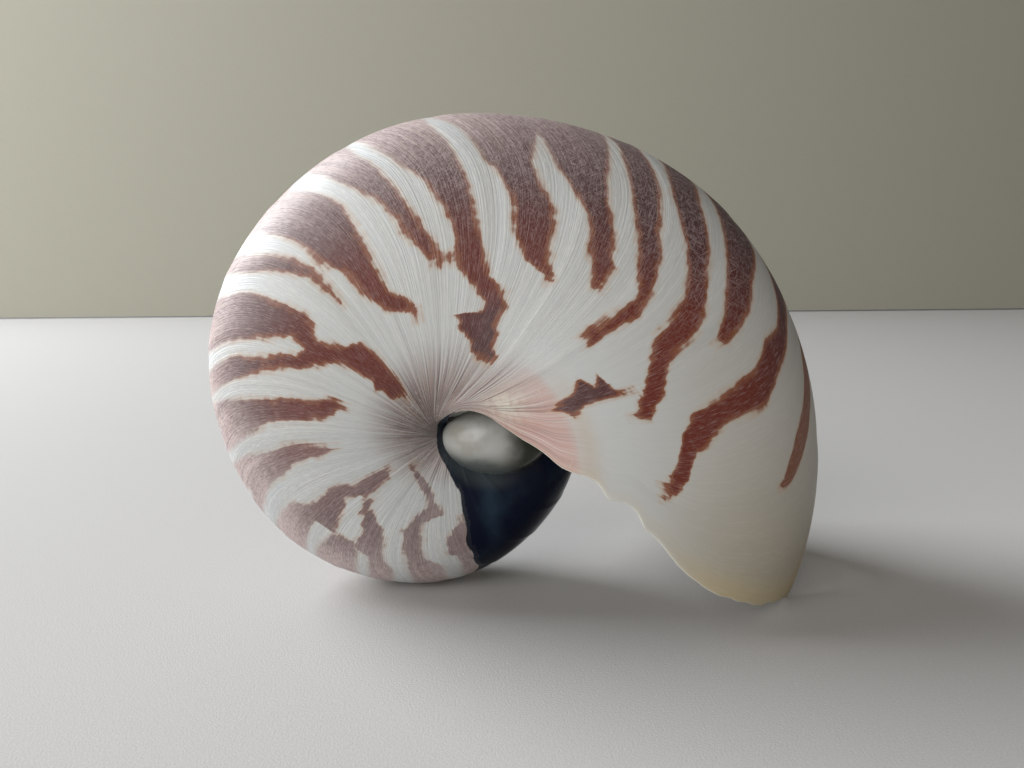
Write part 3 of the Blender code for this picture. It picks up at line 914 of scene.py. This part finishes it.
# %% Film paint group
film_paint, given, result = group(
    "Film paint",
    [("Vector", "Vector", None), ("Drip", "Float", 0.0), ("Bloom", "Float", 0.0)],
    [("Color", "Color"), ("Clouds", "Float")],
)
clouds = noise(given["Vector"], 85.0, 5.0)
# Painted reflection: the blue clouds stand for the room mirrored in the glossy film.
painted = mix(step(clouds, 0.46, 0.72), FILM_BLACK, FILM_REFLECTION_BLUE)
# The pale streak is painted reflection too; the grey bloom is the film's own colour.
painted = paint_over(painted, ((times(given["Drip"], clouds), FILM_REFLECTION_STREAK), (given["Bloom"], BLOOM_GREY)))
film_paint.links.new(painted, result["Color"])
film_paint.links.new(clouds, result["Clouds"])
print("group", film_paint.name)

# %% Material: striped wall
striped, tree, shader = new_material("striped_wall")
uv, own = growth_uv(tree), own_place(tree)
marks = {name: mask(tree, name) for name in masks}
lines = place_group(tree, growth_lines, Vector=uv, Wrinkle=marks["wash"])
rubbed = place_group(tree, scratches, Vector=own, Amount=1.0)["Mask"]
blotch = noise(own, 60.0, 4.0)
crumbs = noise(own, 700.0, 3.0)
dashes = streaks(uv, 430, 45, 2)
creases = streaks(uv, 66, 2.2, 2)
grit = maths("SUBTRACT", crumbs, 0.5)
print("inputs ready for", striped.name, "with", len(marks), "masks")

# %% [markdown]
# A stripe's edge is the depth mask made ragged. Teeth follow the growth lines and ledges cross them,
# and grit roughens both. The sharp edge turns soft where the haze lies over it.

# %% The stripes' edge
teeth = streaks(uv, 62, 5.0, 1)
ledges = streaks(uv, 13, 46.0, 1)
ragged = maths("SUBTRACT", maths("ADD", times(teeth, 2.2), times(ledges, 1.6)), 1.9)
ragged = times(ragged, scaled(marks["broken"], 0.75, 0.25))
ragged = scaled(grit, 0.5, maths("ADD", ragged, marks["stripe"]))
in_stripe = mix(times(marks["haze"], 0.85), step(ragged, -0.30, 0.35), step(ragged, -0.9, 0.9))
in_halo = step(ragged, -1.3, 0.1)
in_heart = step(scaled(marks["haze"], 2.0, ragged), 0.15, 1.7)
print("edge, halo and heart")

# %% [markdown]
# The ground is laid like paint, one thin layer over another: the broad tints first, with painted shade
# near the lip, then the growth lines, the stains, what has worn off them together with painted
# highlights on the wrinkle crests, and the cracks.

# %% The ground
quiet = scaled(marks["young"], -0.8, 1.0)
dark_lines = times(times(step(lines["Broad"], 0.38, 0.66), 0.17), quiet)
pale_lines = step(scaled(dashes, 0.5, times(lines["Fine"], 0.5)), 0.48, 0.62)
pale_lines = times(pale_lines, times(quiet, 0.5))
washed = times(marks["wash"], step(lines["Broad"], 0.10, 0.62))
washed = times(washed, scaled(blotch, 0.7, 0.52), clamp=True)
cornered = times(marks["corner"], step(lines["Fine"], 0.72, 0.40))
cornered = times(cornered, scaled(blotch, 0.9, 0.35), clamp=True)
stained = maths("MAXIMUM", marks["corner"], marks["wash"])
wear_and_highlight = times(rubbed, times(step(blotch, 0.40, 0.62), 0.75))
# Painted highlight: pale on the crests of the broad wrinkles and the creases round the umbilicus, besides
# the rubbed wear above.
wear_and_highlight = maths("MAXIMUM", wear_and_highlight, times(step(lines["Broad"], 0.56, 0.68), 0.40))
wear_and_highlight = maths("MAXIMUM", wear_and_highlight, times(step(creases, 0.58, 0.70), marks["wash"]))
flakes = step(scaled(dashes, 0.6, times(crumbs, 0.6)), 0.46, 0.64)
cracks = times(times(marks["wash"], step(creases, 0.43, 0.33)), 0.7)
ground = paint_over(
    GROUND,
    (
        (marks["haze"], GROUND_COOL),
        # Painted shade over the young shell's own cream tint, on the outer half near the lip.
        (marks["young_tint_and_shade"], YOUNG_TINT_AND_SHADE),
        (marks["rim"], GROUND_WARM),
        # Painted glow: the lip's olive, lightened for light shining through the thin lip.
        (times(marks["edge"], 0.6), RIM_OLIVE_AND_GLOW),
        (times(marks["stain_side"], scaled(blotch, 0.9, 0.2)), TAN),
        # Painted glow: the lip's amber, lightened for light shining through the thin lip.
        (times(marks["amber_and_glow"], 0.6), RIM_AMBER_AND_GLOW),
        (dark_lines, DARK_LINE),
        (pale_lines, PALE_LINE),
        (washed, WASH_PINK),
        (cornered, WASH_BROWN),
        # Rubbed wear on the stains, with painted highlights on the wrinkle crests.
        (times(stained, wear_and_highlight), WORN_AND_HIGHLIGHT),
        (times(marks["bare"], flakes), BARE),
        (cracks, CREASE),
    ),
)
print("ground colours")

# %% [markdown]
# The stripes are plum on the old shell and rust where it is fresh. Chalk lies over them in crumbs,
# fine lines and broad bands where the haze is, and scratches and hairlines cross them all.

# %% The stripes
chalk_lines = step(scaled(crumbs, 0.45, scaled(lines["Fine"], 0.4, dashes)), 0.74, 1.10)
chalk_lines = scaled(step(streaks(uv, 19, 0.9, 2), 0.50, 0.64), 0.4, chalk_lines)
chalk = times(marks["haze"], scaled(chalk_lines, 0.44, 0.50), clamp=True)
scribbles = times(rubbed, scaled(marks["scribble"], 0.34, 0.07))
hairlines = times(step(dashes, 0.54, 0.72), 0.28)
old_lines = times(marks["haze"], step(lines["Fine"], 0.52, 0.66))
stripe_colour = mix(in_heart, RUST_EDGE, mix(marks["redness"], PLUM, RUST))
stripe_colour = paint_over(
    stripe_colour,
    (
        (marks["faded"], FADED),
        (chalk, CHALK),
        (maths("MAXIMUM", scribbles, hairlines), CHALK),
        (times(old_lines, 0.4), OLD_LINE),
    ),
)
print("stripe colours")

# %% Putting the wall together
halo = times(in_halo, scaled(marks["haze"], -0.26, 0.42))
solid = scaled(marks["faded"], -0.1, 1.0)
in_film = step(scaled(grit, 0.8, marks["film"]), -0.1, 0.25)
paint = place_group(tree, film_paint, Vector=own, Drip=marks["drip"], Bloom=marks["bloom"])
colour = paint_over(
    ground,
    (
        (halo, HALO_TAN),
        (times(in_stripe, solid), stripe_colour),
        (in_film, paint["Color"]),
        (marks["broken_edge"], EDGE_WHITE),
        (marks["inner"], PEARL),
    ),
)
rough = scaled(in_film, -0.34, scaled(lines["Fine"], 0.16, 0.42))
rough = scaled(marks["inner"], -0.28, rough, clamp=True)
height = times(lines["Height"], scaled(in_film, -0.8, 1.0))
height = times(height, scaled(marks["young"], -0.82, 1.0))
relief = node(tree, "ShaderNodeBump", Height=height, Distance=0.00022, Strength=1.0)
set_inputs(shader, Base_Color=colour, Roughness=rough, Normal=relief.outputs[0], IOR=1.5)
shell.data.materials.append(striped)
print("material", striped.name)

# %% [markdown]
# ## Mother-of-pearl
#
# Inside, the wall is nacre: hundreds of thin plates that split the light into faint pinks and greens.
# A thin film on the shader gives that, with one thickness for the whole surface, over a pale, smooth
# base with soft growth bands. The faces that lie wholly inside take this material; the striped wall
# has already faded to the same pale colour where the two meet.

# %% Material: nacre
nacre, tree, shader = new_material("mother_of_pearl")
bands = streaks(growth_uv(tree), 9, 1.2, 3)
drift = noise(own_place(tree), 32.0, 3.0)
colour = mix(step(bands, 0.35, 0.68), PEARL, PEARL_PINK)
colour = mix(times(step(drift, 0.42, 0.68), 0.55), colour, PEARL_GREEN)
shine = node(tree, "ShaderNodeBump", Height=bands, Distance=0.00010)
set_inputs(shader, Base_Color=colour, Roughness=scaled(drift, 0.12, 0.14), Normal=shine.outputs[0])
set_inputs(shader, Thin_Film_Thickness=420.0, Thin_Film_IOR=1.62)
shell.data.materials.append(nacre)
print("material", nacre.name)

# %% [markdown]
# ## Black film
#
# The film is organic, like lacquer, and much blacker than shell with black paint on it would be,
# because it gives back less of the room. So the faces wholly inside the film take a material of their
# own with a weaker reflection, and the film paint group gives their colour, whose blue clouds and pale
# streak are painted reflections.

# %% Material: black film
lacquer, tree, shader = new_material("black_film")
paint = place_group(
    tree, film_paint, Vector=own_place(tree), Drip=mask(tree, "drip"), Bloom=mask(tree, "bloom")
)
set_inputs(shader, Base_Color=paint["Color"], Roughness=scaled(paint["Clouds"], 0.30, 0.06))
shader.inputs["Specular IOR Level"].default_value = 0.16
shell.data.materials.append(lacquer)
print("material", lacquer.name)

# %% Faces to their materials
mesh = shell.data
corners = np.zeros(len(mesh.loops), np.int32)
starts = np.zeros(len(mesh.polygons), np.int32)
mesh.loops.foreach_get("vertex_index", corners)
mesh.polygons.foreach_get("loop_start", starts)


def least_on_faces(mask_name):
    """The smallest value of a mask among each face's corners."""
    values = np.zeros(len(mesh.vertices), np.float32)
    mesh.attributes[mask_name].data.foreach_get("value", values)
    return np.minimum.reduceat(values[corners], starts)


pearly = least_on_faces("inner") > 0.99
filmed = (least_on_faces("film") > 0.9) & ~pearly
mesh.polygons.foreach_set("material_index", (pearly * 1 + filmed * 2).astype(np.int32))
mesh.update()
print(int(pearly.sum()), "faces are nacre and", int(filmed.sum()), "are film")

# %% [markdown]
# ## The callus finish
#
# The callus is smooth white shell. Its lower part is stained by the film and turns grey, and its side
# towards the lip, which lies in the lip's shadow, is painted dark olive as shade. How far down and how
# far sideways a point lies come from its Object coordinates, and a cloudy noise makes both borders wander.

# %% Material: callus
CALLUS_WHITE = srgb(184, 184, 180)
CALLUS_CREAM = srgb(162, 160, 152)
# Painted shade: this dark olive stands for the lip's shadow on the callus, not a colour of the callus.
CALLUS_SHADOW_OLIVE = srgb(46, 48, 38)
WANDER = 0.003
porcelain, tree, shader = new_material("callus_porcelain")
own = own_place(tree)
split = node(tree, "ShaderNodeSeparateXYZ", Vector=own).outputs
cloudy = noise(own, 190.0, 3.0)
wander = maths("SUBTRACT", cloudy, 0.5)
upwards = maths("SUBTRACT", split["Z"], float(AXIS[2] + CALLUS_CENTRE[2]))
sideways = maths("SUBTRACT", split["X"], float(AXIS[0] + CALLUS_CENTRE[0]))
lean = scaled(wander, WANDER, scaled(sideways, 0.10, upwards))
lean_side = scaled(wander, WANDER, sideways)
stain = step(step(lean, 0.0004, -0.0074), 0.0, 0.80)
colour = mix(step(cloudy, 0.35, 0.7), CALLUS_WHITE, CALLUS_CREAM)
# Painted shadow: the side towards the lip darkens to olive where the lip's shadow falls.
painted_lip_shadow = times(step(lean_side, 0.0004, 0.0062), 0.97)
colour = paint_over(colour, ((stain, BLOOM_GREY), (painted_lip_shadow, CALLUS_SHADOW_OLIVE)))
set_inputs(shader, Base_Color=colour, Roughness=0.25)
callus_near.data.materials.append(porcelain)
callus_far.data.materials.append(porcelain)
print("material", porcelain.name)

# %% [markdown]
# ## Joining the frame
#
# The three pieces ride on the only body and stand for the one solid node. The floor and the backdrop
# are stage, not part of the shell.

# %% Ride and replace
for piece in (shell, callus_near, callus_far):
    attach(piece, "root")
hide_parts(NODE)
print("pieces ride on", "root")

# %% [markdown]
# ## Floor and backdrop
#
# A pale matt floor, and a plain card that leans back slightly behind it, with its foot just clear of
# the floor. A little noise in colour and bump keeps them from looking like plastic.

# %% Stage
FLOOR_HALF = 3.0
FLOOR_TONE = srgb(190, 188, 186)
CARD_DISTANCE = 0.585
CARD_LEAN = 0.05
CARD_LEFT, CARD_RIGHT = -0.75, 0.72
CARD_FOOT, CARD_TOP = 0.0015, 0.45
CARD_TONE = srgb(174, 171, 156)
MATT = 0.9


def stage_sheet(name, corners, tone, grain_height):
    """A flat sheet through four corners with a plain, slightly grainy matt material."""
    mesh = bpy.data.meshes.new(name)
    mesh.from_pydata(corners, [], [(0, 1, 2, 3)])
    piece = bpy.data.objects.new(name, mesh)
    bpy.context.scene.collection.objects.link(piece)
    material, tree, shader = new_material(name + "_paper")
    grain = noise(own_place(tree), 2400.0, 2.0)
    shaded_tone = tuple(channel * 0.93 for channel in tone[:3]) + (1,)
    colour = mix(step(grain, 0.3, 0.7), shaded_tone, tone)
    bump = node(tree, "ShaderNodeBump", Height=grain, Distance=grain_height)
    set_inputs(shader, Base_Color=colour, Roughness=MATT, Normal=bump.outputs[0])
    mesh.materials.append(material)
    return piece


stage_sheet(
    "studio_floor",
    [(-FLOOR_HALF, -FLOOR_HALF, 0), (FLOOR_HALF, -FLOOR_HALF, 0),
     (FLOOR_HALF, FLOOR_HALF, 0), (-FLOOR_HALF, FLOOR_HALF, 0)],
    FLOOR_TONE, 0.00006,
)
stage_sheet(
    "backdrop_card",
    [(CARD_LEFT, CARD_DISTANCE, CARD_FOOT), (CARD_RIGHT, CARD_DISTANCE, CARD_FOOT),
     (CARD_RIGHT, CARD_DISTANCE + CARD_LEAN, CARD_TOP), (CARD_LEFT, CARD_DISTANCE + CARD_LEAN, CARD_TOP)],
    CARD_TONE, 0.0001,
)
print("floor laid and card stood up")

# %% [markdown]
# ## Light
#
# One large soft light stands to the left and a little behind, as a window would, and gives the bright
# left edge. A wider and weaker one fills from the front left. The world adds an even, warm fill.

# %% Lights and world
def soft_light(name, position, target, size, power, colour):
    """A square area light at a position, turned to its target."""
    data = bpy.data.lights.new(name, "AREA")
    data.size = size
    data.energy = power
    data.color = colour
    lamp = bpy.data.objects.new(name, data)
    bpy.context.scene.collection.objects.link(lamp)
    aim = Vector(target) - Vector(position)
    lamp.matrix_world = Matrix.Translation(position) @ aim.to_track_quat("-Z", "Y").to_matrix().to_4x4()
    return lamp


COOL_DAYLIGHT = (0.93, 0.965, 1.0)
NEAR_WHITE = (1.0, 0.99, 0.98)
WARM_ROOM = (0.88, 0.82, 0.73, 1)
soft_light("window", (-1.10, 0.46, 0.86), (0, 0, 0.03), 0.9, 31.5, COOL_DAYLIGHT)
soft_light("fill", (-1.02, -0.98, 0.70), (0, 0, 0.04), 1.2, 14.8, NEAR_WHITE)
world = bpy.data.worlds.new("studio")
world.use_nodes = True
set_inputs(world.node_tree.nodes["Background"], Color=WARM_ROOM, Strength=0.115)
bpy.context.scene.world = world
bpy.context.scene.view_settings.view_transform = "Standard"
print("lights set")

# %% [markdown]
# ## Camera
#
# The camera stands close, a little above the shell and turned slightly to its left, with a wide lens.
# It is placed from the coil's axis: turned and raised by two angles, drawn back, then moved sideways
# and up without turning.

# %% Camera
TURN_ANGLE = math.radians(-4.87)
RISE = math.radians(11.39)
DRAWN_BACK = 0.17993
MOVED_RIGHT = 0.015447
MOVED_UP = 0.007379
LENS = 27.1
back_way = np.array(
    [math.sin(TURN_ANGLE) * math.cos(RISE), -math.cos(TURN_ANGLE) * math.cos(RISE), math.sin(RISE)]
)
right_way = np.array([math.cos(TURN_ANGLE), math.sin(TURN_ANGLE), 0])
up_way = np.cross(back_way, right_way)
eye = AXIS + back_way * DRAWN_BACK + right_way * MOVED_RIGHT + up_way * MOVED_UP
camera_data = bpy.data.cameras.new("camera")
camera_data.lens = LENS
camera_data.sensor_width = 36
camera_data.clip_start = 0.01
camera = bpy.data.objects.new("camera", camera_data)
camera.matrix_world = Matrix(np.column_stack([right_way, up_way, back_way, eye]).tolist() + [[0, 0, 0, 1]])
bpy.context.scene.collection.objects.link(camera)
bpy.context.scene.camera = camera
print("camera at", eye)

# %% [markdown]
# ## Last
#
# The view layer is brought up to date.

# %% Finish
bpy.context.view_layer.update()
